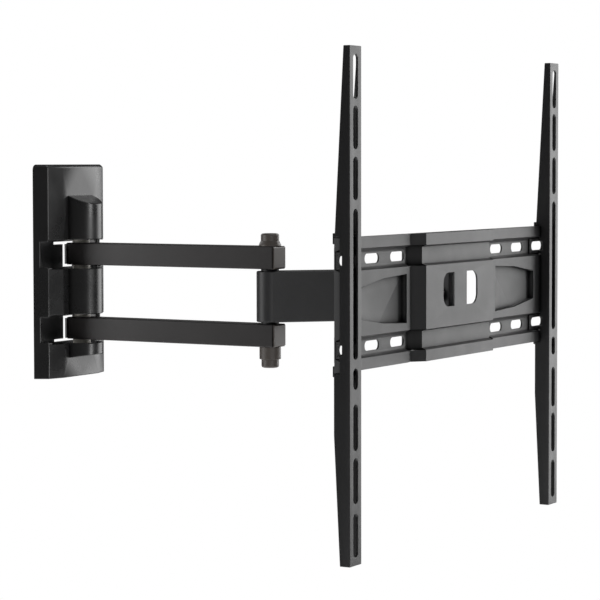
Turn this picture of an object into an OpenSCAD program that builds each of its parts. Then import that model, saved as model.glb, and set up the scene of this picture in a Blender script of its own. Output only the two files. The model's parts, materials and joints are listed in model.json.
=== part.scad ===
// Full motion television wall mount: wall unit, twin arms, forearm, swivel and tilt head,
// pressed television plate and two sliding slotted brackets.
// X runs along the wall, the wall is the plane Y = 0 and the room is towards -Y, Z is up.
// The origin is on the wall, at the shoulder pivot's X and half way between the two arms.

/* [Wall unit] */
// Width of the wall cover
cover_w = 102; // [96:1:120]
// Top of the wall cover above the origin
cover_top = 116.7; // [100:0.1:140]
// Bottom of the wall cover below the origin
cover_bottom = 79.3; // [72:0.1:110]
// How far the flat front of the cover stands out
cover_d = 16.7; // [15:0.1:20]
// Wall thickness of the cover
cover_t = 2; // [1.5:0.1:2.5]
// Outer radius of the round column on the cover
column_r = 19.6; // [19:0.1:22]
// Thickness of the steel wall plate
wall_plate_t = 3; // [2:0.1:4]
// Upper and lower wall bolts: distance between the rows
bolt_pitch_z = 150; // [140:1:155]
// Wall bolts: distance between the columns
bolt_pitch_x = 60; // [56:1:64]
// Wall bolt hole diameter
bolt_hole_d = 8; // [6:0.5:9]

/* [Arms] */
// Shoulder pivot to wall
shoulder_d = 17.5; // [17:0.1:18]
// Shoulder pivot to elbow pivot
arm_len = 203.2; // [180:0.1:300]
// Side of the square arm tube
arm_w = 20.2; // [18:0.1:21]
// Wall of the square arm tube
arm_t = 2; // [1.5:0.1:3]
// Height of each arm's centre above and below the origin
arm_z = 34.4; // [34:0.1:36]
// Tube length beyond each pivot
arm_over = 10; // [9:0.1:10]
// Pivot shaft diameter
shaft_d = 12; // [10:0.5:12]

/* [Forearm] */
// Elbow pivot to swivel pivot
forearm_len = 141.8; // [120:0.1:200]
// Forearm thickness
forearm_w = 24; // [22:0.5:24]
// Forearm height
forearm_h = 45; // [44:0.1:45]
// Forearm wall thickness
forearm_t = 2.5; // [2:0.1:3]
// Angle of the forearm to the wall as drawn
fold_a = 45; // [35:1:55]

/* [Head] */
// Swivel pivot to the front of the brackets
head_d = 40; // [40:0.5:60]
// Tilt pivot to the front of the brackets
tilt_d = 18.6; // [18:0.1:20]
// Diameter of the tilt bolt
tilt_bolt_d = 8; // [6:1:8]

/* [Television plate] */
// Height of the plate
plate_h = 111; // [108:0.1:112]
// Height of the plate's centre above the origin
plate_z = 1.2; // [0:0.1:2]
// Half of the whole plate's width
plate_half = 208.5; // [206:0.5:215]
// Half width of the raised middle
raised_half = 68; // [60:1:70]
// Sheet thickness
sheet_t = 1.5; // [1.5:0.1:2]
// Height of the channel bands
band_h = 18; // [17:0.1:19]
// Distance of each band's centre from the plate's centre
band_z = 36.6; // [36:0.1:38]
// First slot from the plate's centre
slot_first = 99.5; // [98:0.5:102]
// Distance between slots
slot_pitch = 46; // [44:0.5:46]
// Slot length
slot_len = 25.2; // [20:0.1:26]
// Slot height
slot_h = 8.3; // [7:0.1:9]

/* [Brackets] */
// Bracket length
bracket_len = 426; // [410:1:440]
// Bracket width
bracket_w = 20; // [20:0.5:24]
// Bracket sheet thickness
bracket_t = 2; // [1.5:0.1:2]
// Distance from the plate's centre to each bracket
bracket_x = 200; // [150:1:200]
// Width of the slots for the television's screws
screw_slot_w = 7.5; // [6.5:0.1:8.5]
// Height of the outermost slots' centres
screw_slot_z = 188; // [185:1:190]
// Length of the outermost slots
screw_slot_len = 36; // [34:1:38]

/* [Hidden] */
$fn = 64;
eps = 0.01;

// Pivots
elbow_y = -(shoulder_d + arm_len);
head_x = forearm_len * cos(fold_a);
head_y = elbow_y - forearm_len * sin(fold_a);
face_y = head_y - head_d;

// Arms and their pivots
arm_bottom = arm_z - arm_w / 2;
arm_top = arm_z + arm_w / 2;
cap_t = 1.5;
bush_r = shaft_d / 2 + 1.5;
running = 0.05;
ear_t = 3;
ear_r = 14;
ear_out_z = 48.5;
ear_in_z = 20.5;
shaft_head_t = 5;
nut_t = 5;
elbow_gap = arm_bottom - forearm_h / 2;
bolt_head_r = 7;
bolt_head_t = 6;
collar_h = 11;
collar_skirt = 5.4;
stud_d = 8;
stud_end = 4;
ring_r = 8.2;
large_hex = 18;
small_hex = 13;

// Forearm and head
forearm_end = forearm_len - 8;
sleeve_r = 11;
lug_t = 4;
lug_z = forearm_h / 2 + 1.5;
head_half = 12;
yoke_web_d = 24.8;
yoke_web_t = 3;
cheek_out = 7.6;
cheek_t = 3;
cheek_r = 7.3;
cheek_root_half = 14;
swivel_nut_t = 8;
swivel_head_t = 7;
tilt_nut_t = 8;
tilt_head_t = 5;
tilt_washer_r = 5.4;

// Wall cover outline
cover_side_d = 11.8;
cover_side_w = 6.8;
cover_flat_half = 27.5;
cover_bevel = 2.5;
roof_z = 88.5;
roof_drop = 8.5;
bolt_z_mid = (cover_top - cover_bottom) / 2;
column_foot_z = -61.5;
column_foot_rise = 3;
slot_half = 13.3;
side_slot_half = 11.4;
side_slot_d = 5.3;
plate_inset = 4.5;
window_mid_z = -0.8;
window_half = 9.2;
window_rib = 4.4;
window_in_z = 24;
window_row_z = 45;
window_row_h = 2.5;
window_wide_half = 23.5;

// Television plate levels, measured from the front of the brackets
raised_d = 2.1;
field_d = 10;
band_drop = 4.1;
raised_slope = 11.3;
return_d = 15.5;
step_t = 1.6;
seam_w = 4.7;
joggle_lap = 3;
band_slope = 1.7;
foot_w = 2.4;
half_h = plate_h / 2;
row_edge = band_z + band_h / 2;
row_in = band_z - band_h / 2;
frame_d = raised_d + band_drop + sheet_t;
frame_t = 2.5;
ear_in = 8.8;
ear_root_half = 24;
ear_end_r = 5.9;
d_slot_in = 12.5;
d_slot_out = 34.4;
d_slot_h = 30;
d_slot_z = 6;
d_slot_r = 9.5;
wing_in = 89.5;
wing_out = 175;
wing_in_half = 21;
wing_mid_half = 19;
wing_out_half = 13;
wing_drop = 5;
wing_wall = 2.2;

// Brackets
flange_top_d = 6;
flange_far_top_d = 3.2;
flange_shoulder_d = 14.3;
flange_deep_d = 15;
flange_bottom_d = 9.5;
notch_d = 9.7;
edge_gap = 0.6;
hook_t = 3;
hook_in = 15.9;
hook_half = 5;
shoe_t = 1.4;
shoe_slack = 3;
tab_t = 2.2;
tab_d = 5;
shoe_in = 28;
shoe_out = 8;
lock_d = 11;
lock_screw_d = 5;

// ---------- small helpers ----------

module tube(r_out, r_in, h) {
    difference() {
        cylinder(r = r_out, h = h);
        translate([0, 0, -1]) cylinder(r = r_in, h = h + 2);
    }
}

module hexagon(across, h) {
    cylinder(d = across / cos(30), h = h, $fn = 6);
}

// A flat slot along X with round ends, cut through along Y
module slot_x(len, high, deep) {
    rotate([90, 0, 0]) translate([0, 0, -deep / 2]) linear_extrude(deep) {
        square([len - high, high], center = true);
        for (s = [-1, 1]) translate([s * (len - high) / 2, 0]) circle(d = high);
    }
}

module at_elbow() translate([0, elbow_y, 0]) children();
module at_shoulder() translate([0, -shoulder_d, 0]) children();
module at_head() translate([head_x, head_y, 0]) children();
module at_face() translate([head_x, face_y, 0]) children();
module at_forearm() at_elbow() rotate([0, 0, -fold_a]) children();

// ---------- wall unit ----------

module wall_ear(z) {
    translate([0, 0, z]) linear_extrude(ear_t) {
        translate([0, -shoulder_d]) circle(r = ear_r);
        translate([-ear_r, -shoulder_d]) square([2 * ear_r, shoulder_d]);
    }
}

// Openings behind each arm: two upright windows with a wide row along each end
module wall_windows() {
    high = window_row_z - window_in_z;
    pane = window_half - window_rib / 2;
    for (s = [-1, 1]) {
        for (x = [-window_half, window_rib / 2])
            window(x, s * (window_in_z + high / 2), pane, high);
        window(-window_half, s * window_in_z, 2 * window_half, window_row_h);
        window(-window_wide_half, s * window_row_z, 2 * window_wide_half, window_row_h);
    }
}

module window(x, z, wide, high) {
    translate([x, -wall_plate_t - 1, window_mid_z + z - high / 2]) cube([wide, wall_plate_t + 2, high]);
}

module wall_plate() {
    color("dimgray") difference() {
        union() {
            translate([-cover_w / 2 + plate_inset, -wall_plate_t, -cover_bottom + plate_inset])
                cube([cover_w - 2 * plate_inset, wall_plate_t, cover_top + cover_bottom - 2 * plate_inset]);
            for (z = [ear_out_z, ear_in_z - ear_t, -ear_in_z, -ear_out_z - ear_t]) wall_ear(z);
        }
        wall_windows();
        at_shoulder() translate([0, 0, -cover_bottom])
            cylinder(d = shaft_d + 2 * running, h = cover_top + cover_bottom);
        for (x = [-1, 1], z = [-1, 1])
            translate([x * bolt_pitch_x / 2, 1, bolt_z_mid + z * bolt_pitch_z / 2]) rotate([90, 0, 0])
                cylinder(d = bolt_hole_d, h = wall_plate_t + 2);
    }
}

// Outline of the cover seen from above, shrunk by g on every side but the wall
module cover_outline(g) {
    w = cover_w / 2;
    polygon(concat([[-w + g, 1]], cover_front(g), [[w - g, 1]]));
}

// The five flats of the cover, from the left edge on the wall to the right edge on the wall
function cover_front(g) = [
    [-cover_w / 2 + g, 0], [-cover_w / 2 + cover_side_w + g * 0.8, -cover_side_d + g * 0.7],
    [-cover_flat_half, -cover_d + g], [cover_flat_half, -cover_d + g],
    [cover_w / 2 - cover_side_w - g * 0.8, -cover_side_d + g * 0.7], [cover_w / 2 - g, 0]
];

// Cutters that bevel the top edge of each flat
module top_bevels() {
    side = cover_bevel * sqrt(2);
    flats = cover_front(0);
    for (k = [0 : len(flats) - 2]) {
        run = flats[k + 1] - flats[k];
        translate([flats[k].x, flats[k].y, cover_top]) rotate([0, 0, atan2(run.y, run.x)])
            translate([norm(run) / 2, 0, 0]) rotate([45, 0, 0])
                cube([norm(run) + 4 * cover_bevel, side, side], center = true);
    }
}

module column_outline(g) {
    translate([0, -shoulder_d]) circle(r = column_r - g);
    translate([-column_r + g, -shoulder_d]) square([2 * (column_r - g), shoulder_d - 5]);
}

// Side view of the column: a sloping roof at the top and an undercut foot
module column_side(g) {
    front = shoulder_d + column_r + 1;
    rotate([90, 0, 90]) translate([0, 0, -column_r - 1]) linear_extrude(2 * column_r + 2)
        polygon([
            [0, column_foot_z - 8], [-cover_d + 1, column_foot_z + g],
            [-front, column_foot_z + column_foot_rise + g],
            [-front, roof_z - roof_drop - g], [-cover_d + 1, roof_z - g], [0, roof_z + 3 - g]
        ]);
}

module cover_body(g) {
    translate([0, 0, -cover_bottom + g]) linear_extrude(cover_top + cover_bottom - 2 * g) cover_outline(g);
    intersection() {
        translate([0, 0, -cover_bottom]) linear_extrude(cover_top + cover_bottom) column_outline(g);
        column_side(g);
    }
}

module front_corners() {
    r = 5;
    w = cover_w / 2;
    rotate([90, 0, 0]) translate([0, 0, -2]) linear_extrude(60) {
        translate([-w, -cover_bottom]) square([2 * w, cover_top + cover_bottom - r]);
        translate([-w + r, -cover_bottom]) square([2 * w - 2 * r, cover_top + cover_bottom]);
        for (s = [-1, 1]) translate([s * (w - r), cover_top - r]) circle(r = r);
    }
}

module arm_openings() {
    for (s = [-1, 1]) {
        translate([-cover_w, -60, s * arm_z - slot_half])
            cube([2 * cover_w, 60 - cover_side_d, 2 * slot_half]);
        translate([-cover_w, -60, s * arm_z - side_slot_half])
            cube([2 * cover_w, 60 - side_slot_d, 2 * side_slot_half]);
    }
}

module wall_cover() {
    color("#2b2b2b") difference() {
        intersection() {
            cover_body(0);
            front_corners();
        }
        cover_body(cover_t);
        top_bevels();
        arm_openings();
        translate([-cover_w, 0, -cover_bottom - 1]) cube([2 * cover_w, 5, cover_top + cover_bottom + 2]);
    }
}

module shoulder_shaft() {
    bottom = -ear_out_z - ear_t - nut_t;
    top = ear_out_z + ear_t;
    color("silver") at_shoulder() {
        translate([0, 0, bottom]) cylinder(d = shaft_d, h = top - bottom);
        translate([0, 0, top]) hexagon(large_hex, shaft_head_t);
    }
}

module shoulder_nut() {
    color("silver") at_shoulder() translate([0, 0, -ear_out_z - ear_t - nut_t]) difference() {
        hexagon(large_hex, nut_t);
        translate([0, 0, -1]) cylinder(d = shaft_d, h = nut_t + 2);
    }
}

module shoulder_thrust_rings() {
    gap_out = ear_out_z - arm_top;
    gap_in = arm_bottom - ear_in_z;
    color("#d8d4c8") at_shoulder() {
        translate([0, 0, arm_top]) tube(ring_r, shaft_d / 2 + running, gap_out);
        translate([0, 0, ear_in_z]) tube(ring_r, shaft_d / 2 + running, gap_in);
        translate([0, 0, -arm_bottom]) tube(ring_r, shaft_d / 2 + running, gap_in);
        translate([0, 0, -ear_out_z]) tube(ring_r, shaft_d / 2 + running, gap_out);
    }
}

// ---------- twin arms ----------

module arm_tube(z) {
    tube_len = arm_len + 2 * arm_over - 2 * cap_t;
    color("#454343") difference() {
        translate([-arm_w / 2, elbow_y - arm_over + cap_t, z - arm_w / 2]) cube([arm_w, tube_len, arm_w]);
        translate([-arm_w / 2 + arm_t, elbow_y - arm_over, z - arm_w / 2 + arm_t])
            cube([arm_w - 2 * arm_t, tube_len + 2 * cap_t, arm_w - 2 * arm_t]);
        for (y = [-shoulder_d, elbow_y])
            translate([0, y, z - arm_w]) cylinder(r = bush_r, h = 2 * arm_w);
    }
}

module upper_arm() arm_tube(arm_z);
module lower_arm() arm_tube(-arm_z);

// One plastic sleeve lines both walls of each tube
module arm_bush(z) {
    translate([0, 0, z - arm_w / 2]) tube(bush_r, shaft_d / 2 + running, arm_w);
}

module shoulder_bushes() {
    color("#d8d4c8") at_shoulder() for (s = [-1, 1]) arm_bush(s * arm_z);
}

module elbow_bushes() {
    color("#d8d4c8") at_elbow() for (s = [-1, 1]) arm_bush(s * arm_z);
}

// A cap closes the tube end and reaches inside round the bush
module end_cap(reach) {
    plug = arm_w / 2 - arm_t;
    c = 1.2;
    difference() {
        union() {
            rotate([90, 0, 90]) translate([0, 0, -arm_w / 2]) linear_extrude(arm_w)
                polygon([
                    [0, -arm_w / 2], [-cap_t + c, -arm_w / 2], [-cap_t, -arm_w / 2 + c],
                    [-cap_t, arm_w / 2 - c], [-cap_t + c, arm_w / 2], [0, arm_w / 2]
                ]);
            translate([-plug, -eps, -plug]) cube([2 * plug, reach, 2 * plug]);
        }
        translate([-plug + 1.5, 0, -plug + 1.5]) cube([2 * plug - 3, reach + 1, 2 * plug - 3]);
        translate([0, arm_over - cap_t, -arm_w]) cylinder(r = bush_r + 0.3, h = 2 * arm_w);
    }
}

module elbow_end_caps() {
    color("#4a4542") for (s = [-1, 1])
        translate([0, elbow_y - arm_over + cap_t, s * arm_z]) end_cap(5);
}

module shoulder_end_caps() {
    color("#2b2b2b") for (s = [-1, 1])
        translate([0, -shoulder_d + arm_over - cap_t, s * arm_z]) mirror([0, 1, 0]) end_cap(5);
}

// ---------- elbow ----------

module elbow_bolt() {
    color("silver") at_elbow() {
        translate([0, 0, -arm_top]) cylinder(d = shaft_d, h = 2 * arm_top);
        translate([0, 0, -arm_top - collar_h - stud_end]) cylinder(d = stud_d, h = collar_h + stud_end + 1);
        translate([0, 0, arm_top]) cylinder(r = bolt_head_r, h = bolt_head_t);
    }
}

module elbow_nut() {
    color("silver") at_elbow() translate([0, 0, -arm_top - collar_h]) difference() {
        hexagon(small_hex, collar_skirt);
        translate([0, 0, -1]) cylinder(d = stud_d, h = collar_skirt + 2);
    }
}

// Bronze coloured cap with a flared foot and a domed top, hollow over the bolt head
module elbow_top_cap() {
    r = bolt_head_r + running;
    color("#4c4239") at_elbow() translate([0, 0, arm_top]) rotate_extrude()
        polygon([
            [r, 0], [9.9, 0], [9.9, 1], [8.4, 4.4], [8.1, 4.7], [8.1, 10], [7.3, 11], [5.2, 11.3], [0, 11.4],
            [0, bolt_head_t + 0.2], [r, bolt_head_t + 0.2]
        ]);
}

// The collar carries the nut's load and hides the nut in its skirt
module elbow_collar() {
    color("#4c4239") at_elbow() translate([0, 0, -arm_top - collar_h]) difference() {
        cylinder(r = 9.5, h = collar_h);
        translate([0, 0, -1]) cylinder(r = 7.8, h = collar_skirt + 1);
        cylinder(d = stud_d + 2 * running, h = collar_h + 1);
    }
}

module elbow_bottom_cap() {
    color("#3e352e") at_elbow() translate([0, 0, -arm_top - collar_h]) difference() {
        rotate_extrude() polygon([[0, -7.6], [6.2, -7.6], [7.4, -6.9], [7.75, -5.6], [7.75, 0], [0, 0]]);
        translate([0, 0, -stud_end]) cylinder(d = stud_d + 2 * running, h = stud_end + 1);
    }
}

module elbow_washers() {
    color("#1d1d1d") at_elbow() for (z = [forearm_h / 2, -arm_bottom])
        translate([0, 0, z]) tube(8, shaft_d / 2 + running, elbow_gap);
}

// ---------- forearm ----------

module forearm_outline(w, to) {
    circle(d = w);
    translate([0, -w / 2]) square([to, w]);
}

module forearm() {
    inner_w = forearm_w - 2 * forearm_t;
    inner_h = forearm_h - 2 * forearm_t;
    color("#353434") at_forearm() difference() {
        union() {
            difference() {
                translate([0, 0, -forearm_h / 2]) linear_extrude(forearm_h)
                    forearm_outline(forearm_w, forearm_end);
                translate([0, 0, -inner_h / 2]) linear_extrude(inner_h)
                    forearm_outline(inner_w, forearm_end + 1);
            }
            for (x = [0, forearm_len]) translate([x, 0, -forearm_h / 2])
                cylinder(r = (x == 0) ? bush_r + 1.5 : sleeve_r, h = forearm_h);
            translate([forearm_end - 4, -forearm_w / 2 + forearm_t - 1, -inner_h / 2 - 1])
                cube([4, inner_w + 2, inner_h + 2]);
        }
        for (x = [0, forearm_len]) translate([x, 0, -forearm_h]) cylinder(r = bush_r, h = 2 * forearm_h);
    }
}

module forearm_bushes_at(x) {
    h = 12;
    color("#d8d4c8") at_forearm() for (z = [-forearm_h / 2, forearm_h / 2 - h])
        translate([x, 0, z]) tube(bush_r, shaft_d / 2 + running, h);
}

module forearm_elbow_bushes() forearm_bushes_at(0);
module forearm_swivel_bushes() forearm_bushes_at(forearm_len);

// ---------- swivel head ----------

module head_yoke() {
    color("#2f2f2f") difference() {
        union() {
            at_head() for (z = [lug_z, -lug_z - lug_t]) translate([0, 0, z]) linear_extrude(lug_t) {
                circle(r = head_half);
                translate([-head_half, yoke_web_d - head_d]) square([2 * head_half, head_d - yoke_web_d]);
            }
            at_face() translate([-head_half, yoke_web_d, -lug_z - lug_t])
                cube([2 * head_half, yoke_web_t, 2 * lug_z + 2 * lug_t]);
            at_face() for (x = [-cheek_out, cheek_out - cheek_t])
                translate([x, 0, 0]) tilt_ear(cheek_t, yoke_web_d + 1, cheek_root_half, cheek_r);
        }
        at_head() translate([0, 0, -2 * lug_z]) cylinder(d = shaft_d + 2 * running, h = 4 * lug_z);
        at_face() translate([-2 * head_half, tilt_d, 0]) rotate([0, 90, 0])
            cylinder(d = tilt_bolt_d + 2 * running, h = 4 * head_half);
    }
}

// An ear in the YZ plane that narrows from its root at depth d to a round end about the tilt bolt
module tilt_ear(t, d, root_half, r) {
    rotate([90, 0, 90]) linear_extrude(t) {
        translate([tilt_d, 0]) circle(r = r);
        polygon([[d, -root_half], [tilt_d, -r], [tilt_d, r], [d, root_half]]);
    }
}

module swivel_bolt() {
    bottom = -lug_z - lug_t - swivel_nut_t - 1;
    color("silver") at_head() {
        translate([0, 0, bottom]) cylinder(d = shaft_d, h = lug_z + lug_t - bottom);
        translate([0, 0, lug_z + lug_t]) hexagon(large_hex, swivel_head_t);
    }
}

module swivel_nut() {
    color("silver") at_head() translate([0, 0, -lug_z - lug_t - swivel_nut_t]) difference() {
        hexagon(large_hex, swivel_nut_t);
        translate([0, 0, -1]) cylinder(d = shaft_d, h = swivel_nut_t + 2);
    }
}

module swivel_washers() {
    color("#1d1d1d") at_head() for (z = [forearm_h / 2, -lug_z])
        translate([0, 0, z]) tube(10, shaft_d / 2 + running, lug_z - forearm_h / 2);
}

// ---------- tilt joint ----------

module tilt_frame() {
    frame_h = 2 * (band_z + band_h / 2) - 2;
    color("#2f2f2f") at_face() difference() {
        union() {
            translate([-head_half, frame_d, plate_z - frame_h / 2]) cube([2 * head_half, frame_t, frame_h]);
            for (x = [-head_half, ear_in])
                translate([x, 0, 0]) tilt_ear(head_half - ear_in, frame_d + 1, ear_root_half, ear_end_r);
        }
        translate([-2 * head_half, tilt_d, 0]) rotate([0, 90, 0])
            cylinder(d = tilt_bolt_d + 2 * running, h = 4 * head_half);
    }
}

module tilt_bolt() {
    shank = 2 * head_half + tilt_nut_t + 2;
    color("silver") at_face() translate([-head_half, tilt_d, 0]) rotate([0, 90, 0]) {
        cylinder(d = tilt_bolt_d, h = shank);
        translate([0, 0, -tilt_head_t]) hexagon(small_hex, tilt_head_t);
    }
}

module tilt_nut() {
    color("silver") at_face() translate([head_half, tilt_d, 0]) rotate([0, 90, 0]) difference() {
        hexagon(small_hex, tilt_nut_t);
        translate([0, 0, -1]) cylinder(d = tilt_bolt_d, h = tilt_nut_t + 2);
    }
}

module tilt_friction_washers() {
    gap = ear_in - cheek_out;
    color("#1d1d1d") at_face() for (x = [-ear_in, cheek_out]) translate([x, tilt_d, 0]) rotate([0, 90, 0])
        tube(tilt_washer_r, tilt_bolt_d / 2 + running, gap);
}

module tilt_spacer() {
    half = cheek_out - cheek_t;
    color("silver") at_face() translate([-half, tilt_d, 0]) rotate([0, 90, 0])
        tube(tilt_washer_r, tilt_bolt_d / 2 + running, 2 * half);
}

// ---------- television plate ----------

// Rows of the pressed plate from the top down: lowest Z, highest Z, front level, back level
rows = [
    [row_edge + step_t, half_h, 0, sheet_t],
    [row_edge, row_edge + step_t, 0, band_drop + sheet_t],
    [row_in, row_edge, band_drop, band_drop + sheet_t],
    [row_in - step_t, row_in, 0, band_drop + sheet_t],
    [-row_in + step_t, row_in - step_t, 0, sheet_t],
    [-row_in, -row_in + step_t, 0, band_drop + sheet_t],
    [-row_edge, -row_in, band_drop, band_drop + sheet_t],
    [-row_edge - step_t, -row_edge, 0, band_drop + sheet_t],
    [-half_h, -row_edge - step_t, 0, sheet_t]
];

// One row of the raised middle, whose ends slope back to the side plates
module raised_row(r) {
    rise = field_d + sheet_t - raised_d;
    f = raised_d + r[2];
    b = raised_d + r[3];
    w = raised_half;
    e = raised_half + raised_slope;
    k = sheet_t / 2;
    translate([0, 0, plate_z + r[0]]) linear_extrude(r[1] - r[0])
        polygon([
            [-e, f + rise], [-w, f], [w, f], [e, f + rise], [e - foot_w, f + rise], [w - k, b], [-w + k, b],
            [-e + foot_w, f + rise]
        ]);
}

module side_row(r, from, to) {
    translate([from, field_d + r[2], plate_z + r[0]]) cube([to - from, r[3] - r[2], r[1] - r[0]]);
}

// D shaped hole: flat side towards the middle, round outer corners
module d_slot() {
    w = d_slot_out - d_slot_in;
    translate([d_slot_in, 0, d_slot_z]) rotate([90, 0, 0]) translate([0, 0, -40]) linear_extrude(80) {
        translate([0, -d_slot_h / 2]) square([w - d_slot_r, d_slot_h]);
        translate([0, -d_slot_h / 2 + d_slot_r]) square([w, d_slot_h - 2 * d_slot_r]);
        for (s = [-1, 1]) translate([w - d_slot_r, s * (d_slot_h / 2 - d_slot_r)]) circle(r = d_slot_r);
    }
}

// Sloping walls between a recessed band and the sheet above and below it
module band_slopes(front, from, to) {
    floor_d = front + band_drop + eps;
    for (s = [-1, 1], t = [-1, 1]) {
        edge = plate_z + s * band_z + t * (band_h / 2 + eps);
        translate([from, 0, 0]) rotate([90, 0, 90]) linear_extrude(to - from)
            polygon([[front, edge], [floor_d, edge], [floor_d, edge - t * band_slope]]);
    }
}

module edge_return(z, from, to, top_d) {
    translate([from, top_d, z]) cube([to - from, return_d - top_d, sheet_t]);
}

module centre_plate() {
    color("#6b6b6b") at_face() difference() {
        union() {
            for (r = rows) raised_row(r);
            band_slopes(raised_d, -raised_half, raised_half);
            for (z = [half_h - sheet_t, -half_h]) translate([0, 0, plate_z + z]) raised_return();
        }
        d_slot();
        mirror([1, 0, 0]) d_slot();
    }
}

// Long edge of the raised middle turned back, ending short of the side plates
module raised_return() {
    e = raised_half + raised_slope - joggle_lap - running;
    linear_extrude(sheet_t)
        polygon([
            [-e, field_d], [-raised_half, raised_d + 1], [raised_half, raised_d + 1], [e, field_d],
            [e, return_d], [-e, return_d]
        ]);
}

module wing_outline(g) {
    mid = (wing_in + wing_out) / 2;
    polygon([
        [wing_in - g, -wing_in_half - g], [mid, -wing_mid_half - g], [wing_out + g, -wing_out_half - g],
        [wing_out + g, wing_out_half + g], [mid, wing_mid_half + g], [wing_in - g, wing_in_half + g]
    ]);
}

module wing_solid(g, from, to) {
    translate([0, to, plate_z]) rotate([90, 0, 0]) linear_extrude(to - from) wing_outline(g);
}

module side_plate() {
    slope_end = raised_half + raised_slope;
    joggle = slope_end - joggle_lap;
    inner = slope_end + seam_w;
    difference() {
        union() {
            for (r = rows) side_row(r, inner, plate_half);
            for (r = rows) translate([0, sheet_t, 0]) side_row(r, joggle, inner + sheet_t);
            for (z = [half_h - sheet_t, -half_h])
                edge_return(plate_z + z, joggle, plate_half, field_d + sheet_t + 1);
            band_slopes(field_d, inner, plate_half);
            end_return();
            wing_solid(wing_wall, field_d, field_d + wing_drop + sheet_t);
        }
        wing_solid(0, field_d - 1, field_d + wing_drop);
        for (k = [0:2], s = [-1, 1])
            translate([slot_first + k * slot_pitch, field_d + band_drop, plate_z + s * band_z])
                slot_x(slot_len, slot_h, 12);
    }
}

// The outer end is turned back, except across the two bands
module end_return() {
    for (z = [[row_edge, half_h], [-row_in, row_in], [-half_h, -row_edge]])
        translate([plate_half - sheet_t, field_d, plate_z + z[0]])
            cube([sheet_t, return_d - field_d, z[1] - z[0]]);
}

module right_plate() {
    color("#6b6b6b") at_face() side_plate();
}

module left_plate() {
    color("#6b6b6b") at_face() mirror([1, 0, 0]) side_plate();
}

// ---------- brackets ----------

// Slots in the bracket: centre height and length
screw_slots = [
    [screw_slot_z, screw_slot_len], [146.5, 35], [105, 35], [18.6, 123],
    [-59, 17], [-99, 38], [-143, 37.5], [-screw_slot_z, screw_slot_len]
];

module flange_outline(top_d) {
    h = bracket_len / 2;
    top = plate_z + half_h + edge_gap;
    bottom = plate_z - half_h - edge_gap;
    polygon([
        [0, -h], [flange_bottom_d, -h], [flange_deep_d, -105], [flange_deep_d, bottom], [notch_d, bottom],
        [notch_d, top], [flange_shoulder_d, top], [top_d, h], [0, h]
    ]);
}

module flange(top_d) {
    difference() {
        rotate([90, 0, 90]) linear_extrude(bracket_t) flange_outline(top_d);
        for (s = [-1, 1]) translate([-1, notch_d - 2.1, plate_z + s * band_z - slot_h / 2])
            cube([bracket_t + 2, 4, slot_h]);
    }
}

// Lower face of the hook at the top (s = 1) or the bottom (s = -1) of the plate
function hook_z(s) = (s > 0) ? half_h + edge_gap : -half_h - edge_gap - hook_t;

// A hook inside the channel that reaches over one long edge of the plate
module hook(s) {
    edge = half_h + edge_gap;
    lip_h = 6;
    z_lip = (s > 0) ? edge - lip_h : -edge - hook_t;
    translate([-hook_half, bracket_t - eps, plate_z + hook_z(s)])
        cube([2 * hook_half, hook_in + hook_t - bracket_t, hook_t]);
    translate([-hook_half, hook_in, plate_z + z_lip]) cube([2 * hook_half, hook_t, lip_h + hook_t]);
}

module bracket_body() {
    inner_half = bracket_w / 2 - bracket_t;
    difference() {
        union() {
            translate([-bracket_w / 2, 0, -bracket_len / 2]) cube([bracket_w, bracket_t, bracket_len]);
            translate([-bracket_w / 2, 0, 0]) flange(flange_top_d);
            translate([inner_half, 0, 0]) flange(flange_far_top_d);
            for (s = [-1, 1]) {
                hook(s);
                translate([-inner_half - eps, 9, plate_z + hook_z(s)])
                    cube([2 * inner_half + 2 * eps, 4.5, hook_t]);
            }
        }
        for (k = screw_slots) translate([0, 0, k[0]]) screw_slot(k[1]);
        translate([0, lock_d, plate_z - half_h - 2 * hook_t])
            cylinder(d = lock_screw_d + 2 * running, h = 3 * hook_t);
    }
}

module screw_slot(len) {
    w = screw_slot_w;
    translate([0, 5, 0]) rotate([90, 0, 0]) linear_extrude(8) {
        square([w, len - w], center = true);
        for (s = [-1, 1]) translate([0, s * (len - w) / 2]) circle(d = w);
    }
}

module right_bracket() {
    color("#5a5a5a") at_face() translate([bracket_x, 0, 0]) bracket_body();
}

module left_bracket() {
    color("#5a5a5a") at_face() translate([-bracket_x, 0, 0]) bracket_body();
}

// Plastic shoes lie in the recessed bands and carry the bracket along the plate
module glide_shoe() {
    hole_x = slot_first + 2 * slot_pitch - bracket_x;
    high = band_h - 2 * band_slope - 0.6;
    tab = bracket_w / 2 - bracket_t - running;
    tab_h = (high - slot_h) / 2 - 0.8;
    front = field_d + band_drop - shoe_t;
    difference() {
        union() {
            translate([-shoe_in, front, -high / 2]) cube([shoe_in + shoe_out, shoe_t, high]);
            for (x = [-tab, tab - tab_t], z = [-high / 2, high / 2 - tab_h])
                translate([x, tab_d, z]) cube([tab_t, front + shoe_t - tab_d, tab_h]);
        }
        translate([hole_x - shoe_slack / 2, front, 0]) slot_x(slot_len + shoe_slack, slot_h + 0.6, 12);
    }
}

module glide_shoe_pair() {
    for (s = [-1, 1]) translate([0, 0, plate_z + s * band_z]) glide_shoe();
}

module right_glide_shoes() {
    color("#161616") at_face() translate([bracket_x, 0, 0]) glide_shoe_pair();
}

module left_glide_shoes() {
    color("#161616") at_face() translate([-bracket_x, 0, 0]) mirror([1, 0, 0]) glide_shoe_pair();
}

// The screw turns up through the lower hook and clamps the edge of the plate
module lock_screw() {
    tip = plate_z - half_h - 0.2;
    under = plate_z - half_h - edge_gap - hook_t;
    translate([0, lock_d, 0]) {
        translate([0, 0, under - 1]) cylinder(d = lock_screw_d, h = tip - under + 1);
        translate([0, 0, under - 5.5]) cylinder(r = 5, h = 5);
    }
}

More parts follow.
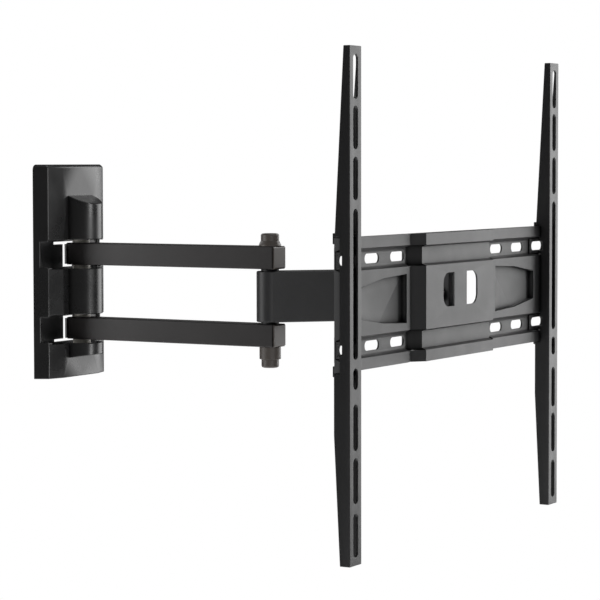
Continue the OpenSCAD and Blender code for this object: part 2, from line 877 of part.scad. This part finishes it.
module right_lock_screw() {
    color("silver") at_face() translate([bracket_x, 0, 0]) lock_screw();
}

module left_lock_screw() {
    color("silver") at_face() translate([-bracket_x, 0, 0]) lock_screw();
}

wall_plate();
wall_cover();
shoulder_shaft();
shoulder_nut();
shoulder_thrust_rings();
upper_arm();
lower_arm();
shoulder_bushes();
elbow_bushes();
shoulder_end_caps();
elbow_end_caps();
elbow_bolt();
elbow_nut();
elbow_top_cap();
elbow_collar();
elbow_bottom_cap();
elbow_washers();
forearm();
forearm_elbow_bushes();
forearm_swivel_bushes();
head_yoke();
swivel_bolt();
swivel_nut();
swivel_washers();
tilt_frame();
tilt_bolt();
tilt_nut();
tilt_friction_washers();
tilt_spacer();
centre_plate();
left_plate();
right_plate();
left_bracket();
right_bracket();
left_glide_shoes();
right_glide_shoes();
left_lock_screw();
right_lock_screw();
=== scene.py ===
"""Looks of the full motion television wall mount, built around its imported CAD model."""

import json
import math

import bmesh
import bpy
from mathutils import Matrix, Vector


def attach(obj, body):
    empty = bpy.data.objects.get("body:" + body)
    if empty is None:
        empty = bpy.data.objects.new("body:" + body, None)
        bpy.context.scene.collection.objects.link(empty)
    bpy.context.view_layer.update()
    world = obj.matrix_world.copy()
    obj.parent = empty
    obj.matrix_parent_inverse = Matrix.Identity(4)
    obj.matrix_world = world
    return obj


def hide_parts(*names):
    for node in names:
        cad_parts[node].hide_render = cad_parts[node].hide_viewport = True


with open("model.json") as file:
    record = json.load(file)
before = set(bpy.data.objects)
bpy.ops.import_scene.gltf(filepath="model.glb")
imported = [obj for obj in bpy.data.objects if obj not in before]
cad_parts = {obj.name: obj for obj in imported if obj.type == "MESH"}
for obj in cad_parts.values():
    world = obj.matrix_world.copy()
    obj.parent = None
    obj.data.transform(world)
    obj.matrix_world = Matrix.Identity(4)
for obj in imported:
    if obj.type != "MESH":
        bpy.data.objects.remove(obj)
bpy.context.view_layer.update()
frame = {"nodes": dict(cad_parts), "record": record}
NODES = frame["nodes"]
BODY_OF = {n: body for body, members in frame["record"]["behaviour"]["bodies"].items() for n in members}
SLOT_OF = {s["node"]: s["material_slot"] for s in frame["record"]["subparts"]}
MM = 0.001


# ---------- camera ----------

CAMERA_PLACE = (-1.7676, -1.2677, 0.1178)
CAMERA_TURN = (math.radians(87.009), math.radians(0.09), math.radians(-60.103))
CAMERA_LENS_MM = 139.65
SENSOR_MM = 36.0
CAMERA_SHIFT_Y = -0.0258
CAMERA_REACH = 50.0


def make_camera():
    camera_data = bpy.data.cameras.new("camera")
    camera_data.lens = CAMERA_LENS_MM
    camera_data.sensor_width = SENSOR_MM
    camera_data.shift_y = CAMERA_SHIFT_Y
    camera_data.clip_end = CAMERA_REACH
    camera = bpy.data.objects.new("camera", camera_data)
    camera.location = CAMERA_PLACE
    camera.rotation_euler = CAMERA_TURN
    bpy.context.scene.collection.objects.link(camera)
    bpy.context.scene.camera = camera


make_camera()


# ---------- materials ----------

class Shader:
    """A material whose nodes are added and joined by short calls."""

    # The Mix node's sockets for colours. Their names are shared by its other kinds, so they go by number.
    MIX_FACTOR, MIX_A, MIX_B, MIX_RESULT = 0, 6, 7, 2

    def __init__(self, name):
        self.material = bpy.data.materials.new(name)
        self.material.use_nodes = True
        self.tree = self.material.node_tree
        self.bsdf = next(n for n in self.tree.nodes if n.type == "BSDF_PRINCIPLED")
        self.place = self.node("ShaderNodeTexCoord").outputs["Object"]

    def node(self, kind, **values):
        made = self.tree.nodes.new(kind)
        for key, value in values.items():
            setattr(made, key, value)
        return made

    def join(self, a, b):
        self.tree.links.new(a, b)

    def noise(self, scale, detail=3.0, roughness=0.55, stretch=None):
        """Noise over the surface, with scale in repeats per metre."""
        noise = self.node("ShaderNodeTexNoise")
        noise.inputs["Scale"].default_value = scale
        noise.inputs["Detail"].default_value = detail
        noise.inputs["Roughness"].default_value = roughness
        if stretch is None:
            self.join(self.place, noise.inputs["Vector"])
        else:
            mapping = self.node("ShaderNodeMapping")
            mapping.inputs["Scale"].default_value = stretch
            self.join(self.place, mapping.inputs["Vector"])
            self.join(mapping.outputs["Vector"], noise.inputs["Vector"])
        return noise.outputs["Fac"]

    def ramp(self, value, stops):
        """A colour ramp with stops of (place, grey or colour)."""
        ramp = self.node("ShaderNodeValToRGB")
        elements = ramp.color_ramp.elements
        while len(elements) < len(stops):
            elements.new(0.5)
        for element, (place, colour) in zip(elements, stops):
            element.position = place
            if isinstance(colour, float):
                colour = (colour, colour, colour)
            element.color = (*colour, 1.0)
        self.join(value, ramp.inputs["Fac"])
        return ramp.outputs["Color"]

    def corners(self, reach_mm, stops):
        """Painted shade from ambient occlusion: grey that falls off in grooves and inside corners closer
        than reach_mm.
        """
        corners = self.node("ShaderNodeAmbientOcclusion", samples=6)
        corners.inputs["Distance"].default_value = reach_mm * MM
        return self.ramp(corners.outputs["AO"], stops)

    def multiply(self, a, b):
        product = self.node("ShaderNodeMix", data_type="RGBA", blend_type="MULTIPLY")
        product.inputs[self.MIX_FACTOR].default_value = 1.0
        self.join(a, product.inputs[self.MIX_A])
        self.join(b, product.inputs[self.MIX_B])
        return product.outputs[self.MIX_RESULT]

    def mix(self, factor, a, colour):
        """From a, which comes out of a node, to a plain colour."""
        mix = self.node("ShaderNodeMix", data_type="RGBA")
        self.join(factor, mix.inputs[self.MIX_FACTOR])
        self.join(a, mix.inputs[self.MIX_A])
        mix.inputs[self.MIX_B].default_value = (*colour, 1.0)
        return mix.outputs[self.MIX_RESULT]

    def bump(self, height, strength, distance):
        bump = self.node("ShaderNodeBump")
        bump.inputs["Strength"].default_value = strength
        bump.inputs["Distance"].default_value = distance
        self.join(height, bump.inputs["Height"])
        return bump.outputs["Normal"]

    def finish(self, colour, roughness, normal=None, metallic=0.0, specular=0.5):
        self.join(colour, self.bsdf.inputs["Base Color"])
        self.join(roughness, self.bsdf.inputs["Roughness"])
        if normal is not None:
            self.join(normal, self.bsdf.inputs["Normal"])
        self.bsdf.inputs["Metallic"].default_value = metallic
        self.bsdf.inputs["Specular IOR Level"].default_value = specular
        return self.material


def powder_coat(name, colour, gloss, grain=900.0, depth=0.12, reach_mm=5.0):
    """Painted steel: orange peel grain, faint clouding, rubbed edges, and painted shade within reach_mm of
    corners, which darkens the colour and weakens the reflections in grooves.
    """
    s = Shader(name)
    dark = tuple(c * 0.92 for c in colour)
    light = tuple(c * 1.08 for c in colour)
    cloud = s.ramp(s.noise(18.0, 4.0), [(0.35, dark), (0.65, light)])
    speck = s.ramp(s.noise(grain * 2.3, 2.0), [(0.30, 0.86), (0.70, 1.0)])
    tint = s.multiply(cloud, speck)
    edge = s.ramp(s.node("ShaderNodeNewGeometry").outputs["Pointiness"], [(0.56, 0.0), (0.66, 0.5)])
    rubbed = tuple(min(1.0, c * 1.9 + 0.02) for c in colour)
    # Painted shade: ambient occlusion darkens the colour in grooves and inside corners.
    shade = s.corners(reach_mm, [(0.50, 0.10), (0.90, 1.0)])
    colour_out = s.multiply(s.mix(edge, tint, rubbed), shade)
    roughness = s.ramp(s.noise(60.0, 5.0), [(0.3, gloss - 0.02), (0.7, gloss + 0.03)])
    peel = s.bump(s.noise(grain, 3.0), depth, 0.0004)
    # Painted shade: the same occlusion turns the reflections down in grooves and corners.
    s.join(s.ramp(shade, [(0.0, 0.04), (1.0, 0.5)]), s.bsdf.inputs["Specular IOR Level"])
    return s.finish(colour_out, roughness, peel)


def moulded(name, colour, gloss, grain=1400.0, depth=0.10):
    """Moulded plastic: fine spark-eroded grain and slight flow marks."""
    s = Shader(name)
    dark = tuple(c * 0.9 for c in colour)
    light = tuple(c * 1.1 for c in colour)
    flow = s.ramp(s.noise(9.0, 3.0, stretch=(1.0, 1.0, 0.25)), [(0.3, dark), (0.7, light)])
    roughness = s.ramp(s.noise(35.0, 4.0), [(0.3, gloss - 0.04), (0.7, gloss + 0.06)])
    grain_bump = s.bump(s.noise(grain, 2.0), depth, 0.0003)
    return s.finish(flow, roughness, grain_bump)


def turned_steel(name, colour, gloss):
    """Zinc plated steel with fine lathe lines round the Z axis and a mottled film."""
    s = Shader(name)
    dark = tuple(c * 0.85 for c in colour)
    film = s.ramp(s.noise(140.0, 4.0), [(0.3, dark), (0.7, colour)])
    lines = s.noise(30.0, 2.0, stretch=(2.0, 2.0, 160.0))
    roughness = s.ramp(lines, [(0.3, gloss - 0.06), (0.7, gloss + 0.1)])
    return s.finish(film, roughness, s.bump(lines, 0.10, 0.0002), metallic=1.0)


MATERIALS = {
    "black_steel": powder_coat("black_steel", (0.022, 0.022, 0.023), 0.40),
    # The plates' painted shade reaches further, 8 mm, into their grooves and steps.
    "plate_steel": powder_coat("plate_steel", (0.032, 0.032, 0.033), 0.46,
                                grain=1100.0, depth=0.16, reach_mm=8.0),
    "arm_steel": powder_coat("arm_steel", (0.036, 0.033, 0.033), 0.42),
    "black_plastic": moulded("black_plastic", (0.008, 0.008, 0.0082), 0.28, depth=0.05),
    "bronze_plastic": moulded("bronze_plastic", (0.070, 0.060, 0.053), 0.38),
    "shaft_steel": turned_steel("shaft_steel", (0.56, 0.56, 0.57), 0.32),
    "bush_plastic": moulded("bush_plastic", (0.70, 0.67, 0.60), 0.45),
    "washer_plastic": moulded("washer_plastic", (0.012, 0.012, 0.012), 0.5),
}


def paint(piece, slot_name):
    piece.data.materials.clear()
    piece.data.materials.append(MATERIALS[slot_name])


# ---------- pieces with rounded edges ----------

WELD_MM = 0.002        # vertices closer than this are one
TOUCH_MM = 0.01        # a point this close to a side of a box lies on it
RIM_MM = 0.05          # an edge all within this of the back is part of the rim
FLAT_DEG = 0.6         # faces closer to parallel than this are one flat


def soften(mesh, angle_deg):
    for polygon in mesh.polygons:
        polygon.use_smooth = True
    mesh.set_sharp_from_angle(angle=math.radians(angle_deg))


def sides_touched(point, low, high):
    """Along how many of the three axes the point lies on a side of the box."""
    return sum(min(point[k] - low[k], high[k] - point[k]) < TOUCH_MM * MM for k in range(3))


def rounded(node, radius_mm, segments, sharp_deg, smooth_deg=35.0, open_back=False, box_edges=False):
    """A copy of a CAD node with its sharp outer edges rounded, standing for that node.

    sharp_deg: how far an edge has to turn to be rounded.
    smooth_deg: how far an edge may turn and still be shaded smooth.
    open_back: the rim against the wall is one flat ring, so it is split down the middle and left unrounded.
    box_edges: only the edges of the piece's own box are rounded, such as the outside of a square tube.
    """
    mesh = NODES[node].data.copy()
    bm = bmesh.new()
    bm.from_mesh(mesh)
    low = [min(v.co[k] for v in bm.verts) for k in range(3)]
    high = [max(v.co[k] for v in bm.verts) for k in range(3)]
    bmesh.ops.remove_doubles(bm, verts=bm.verts, dist=WELD_MM * MM)
    if open_back:
        cut = bmesh.ops.bisect_plane(bm, geom=bm.verts[:] + bm.edges[:] + bm.faces[:],
                                     plane_co=((low[0] + high[0]) / 2, 0.0, 0.0), plane_no=(1.0, 0.0, 0.0))
        for part in cut["geom_cut"]:
            if isinstance(part, bmesh.types.BMEdge):
                part.seam = True
    bmesh.ops.dissolve_limit(bm, angle_limit=math.radians(FLAT_DEG), verts=bm.verts, edges=bm.edges,
                             delimit={"SEAM"})
    sharp = [e for e in bm.edges
             if len(e.link_faces) == 2 and e.is_convex and e.calc_face_angle(0.0) > math.radians(sharp_deg)]
    if open_back:
        sharp = [e for e in sharp if min(v.co.y for v in e.verts) < high[1] - RIM_MM * MM]
    if box_edges:
        sharp = [e for e in sharp if all(sides_touched(v.co, low, high) >= 2 for v in e.verts)]
    bmesh.ops.bevel(bm, geom=sharp, offset=radius_mm * MM, segments=segments, profile=0.5, affect="EDGES",
                    clamp_overlap=False, miter_outer="ARC", offset_type="OFFSET")
    for vert in bm.verts:
        for k in range(3):
            vert.co[k] = min(max(vert.co[k], low[k]), high[k])
    bmesh.ops.recalc_face_normals(bm, faces=bm.faces)
    bmesh.ops.triangulate(bm, faces=[f for f in bm.faces if len(f.verts) > 4])
    bm.to_mesh(mesh)
    bm.free()
    soften(mesh, smooth_deg)
    piece = bpy.data.objects.new(node + ".rounded", mesh)
    bpy.context.scene.collection.objects.link(piece)
    weighted = piece.modifiers.new("weighted", "WEIGHTED_NORMAL")
    weighted.keep_sharp = True
    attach(piece, BODY_OF[node])
    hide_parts(node)
    paint(piece, SLOT_OF[node])
    return piece


# Edge radius in mm, steps round it, and sharp_deg. What else a piece needs is in ROUNDED_APART.
ROUNDED = {
    "wall_cover": (0.9, 8, 24.0),
    "upper_arm": (1.0, 3, 40.0),
    "lower_arm": (1.0, 3, 40.0),
    "elbow_end_caps": (0.45, 3, 40.0),
    "elbow_top_cap": (0.4, 3, 30.0),
    "elbow_collar": (0.5, 3, 40.0),
    "elbow_bottom_cap": (0.5, 3, 30.0),
    "forearm": (1.1, 3, 40.0),
    "head_yoke": (0.5, 2, 40.0),
    "tilt_frame": (0.4, 2, 40.0),
    "left_plate": (0.35, 3, 30.0),
    "right_plate": (0.35, 3, 30.0),
    "left_bracket": (0.5, 3, 40.0),
    "right_bracket": (0.5, 3, 40.0),
}

# The low smooth_deg keeps the shallow edges between the cover's flats crisp.
ROUNDED_APART = {
    "wall_cover": {"smooth_deg": 12.0, "open_back": True},
    "upper_arm": {"box_edges": True},
    "lower_arm": {"box_edges": True},
}

PIECES = {name: rounded(name, *values, **ROUNDED_APART.get(name, {})) for name, values in ROUNDED.items()}

for name, node in NODES.items():
    if name not in PIECES:
        paint(node, SLOT_OF[name])


# ---------- studio ----------

FLOOR_Z = -0.85
FLOOR_HALF = 1.5
STUDIO_DARK = 0.16
SUN_STRENGTH = 3.2
SUN_SPREAD_DEG = 30.0
SUN_HEIGHT = 3.0
CENTRE = (0.05, -0.2, 0.0)


def make_floor():
    mesh = bpy.data.meshes.new("floor")
    corners = [(x * FLOOR_HALF, y * FLOOR_HALF, FLOOR_Z) for x, y in ((-1, -1), (1, -1), (1, 1), (-1, 1))]
    mesh.from_pydata(corners, [], [(0, 1, 2, 3)])
    floor = bpy.data.objects.new("floor", mesh)
    bpy.context.scene.collection.objects.link(floor)
    s = Shader("pale_floor")
    shade = s.ramp(s.noise(3.0, 2.0), [(0.3, 0.88), (0.7, 0.92)])
    rough = s.ramp(s.noise(8.0, 2.0), [(0.3, 0.75), (0.7, 0.85)])
    floor.data.materials.append(s.finish(shade, rough, specular=0.1))
    return floor


def make_world():
    """A white backdrop to look at, in a studio that is otherwise dim."""
    world = bpy.data.worlds.new("studio")
    world.use_nodes = True
    tree = world.node_tree
    tree.nodes.clear()
    out = tree.nodes.new("ShaderNodeOutputWorld")
    backdrop = tree.nodes.new("ShaderNodeBackground")
    backdrop.inputs["Color"].default_value = (1.0, 1.0, 1.0, 1.0)
    room = tree.nodes.new("ShaderNodeBackground")
    room.inputs["Strength"].default_value = STUDIO_DARK
    path = tree.nodes.new("ShaderNodeLightPath")
    mix = tree.nodes.new("ShaderNodeMixShader")
    tree.links.new(path.outputs["Is Camera Ray"], mix.inputs["Fac"])
    tree.links.new(room.outputs["Background"], mix.inputs[1])
    tree.links.new(backdrop.outputs["Background"], mix.inputs[2])
    tree.links.new(mix.outputs["Shader"], out.inputs["Surface"])
    bpy.context.scene.world = world


def shine(name, light, place, only=None, clear=False):
    """Put a light in the scene, facing the mount, for all pieces or for a few of them.

    A clear light is shaded by the pieces it lights and by no others.
    """
    lamp = bpy.data.objects.new(name, light)
    lamp.location = place
    lamp.rotation_euler = (Vector(CENTRE) - Vector(place)).to_track_quat("-Z", "Y").to_euler()
    lamp.visible_camera = False
    bpy.context.scene.collection.objects.link(lamp)
    if only:
        lit = bpy.data.collections.new(name + "_receivers")
        for piece in only:
            lit.objects.link(piece)
        lamp.light_linking.receiver_collection = lit
        if clear:
            lamp.light_linking.blocker_collection = lit


def softbox(name, azimuth_deg, height, distance, size, watts, only=None, clear=False):
    """A rectangular light, at an angle from +X towards +Y and a height above the middle of the mount."""
    light = bpy.data.lights.new(name, "AREA")
    light.shape = "RECTANGLE"
    light.size, light.size_y = size
    light.energy = watts
    azimuth = math.radians(azimuth_deg)
    place = Vector(CENTRE) + Vector((math.cos(azimuth) * distance, math.sin(azimuth) * distance, height))
    shine(name, light, place, only, clear)


def floor_light(floor):
    light = bpy.data.lights.new("floor_light", "SUN")
    light.energy = SUN_STRENGTH
    light.angle = math.radians(SUN_SPREAD_DEG)
    shine("floor_light", light, (CENTRE[0], CENTRE[1], SUN_HEIGHT), [floor])


def looks_of(*names):
    return [PIECES.get(name, NODES[name]) for name in names]


BRACKETS = ("left_bracket", "right_bracket")
ARMS = ("upper_arm", "lower_arm", "elbow_end_caps")
ELBOW = ("forearm", "elbow_top_cap", "elbow_bottom_cap", "elbow_collar")
OTHERS = tuple(name for name in NODES if name not in BRACKETS + ARMS)

floor_light(make_floor())
make_world()

# Azimuth in degrees, height, distance and size in metres, and watts.
softbox("softbox_right", -24.0, 0.5, 2.6, (2.0, 2.4), 48.0)
softbox("softbox_back_left", 134.0, 0.3, 2.4, (1.6, 1.8), 21.0, looks_of(*OTHERS))
softbox("softbox_arms", 130.0, 0.1, 0.62, (0.22, 0.5), 0.9, looks_of(*ARMS))
softbox("softbox_top", -60.0, 2.4, 0.6, (1.6, 1.6), 14.0)
softbox("softbox_back", 80.0, 0.8, 2.4, (1.6, 1.6), 14.0)
softbox("strip_cover", -94.0, 0.1, 2.0, (0.5, 1.8), 26.0, looks_of("wall_cover"), clear=True)
softbox("strip_forearm", -124.0, 0.1, 2.0, (1.1, 1.8), 9.0, looks_of(*ELBOW), clear=True)
bpy.context.scene.view_settings.view_transform = "Standard"
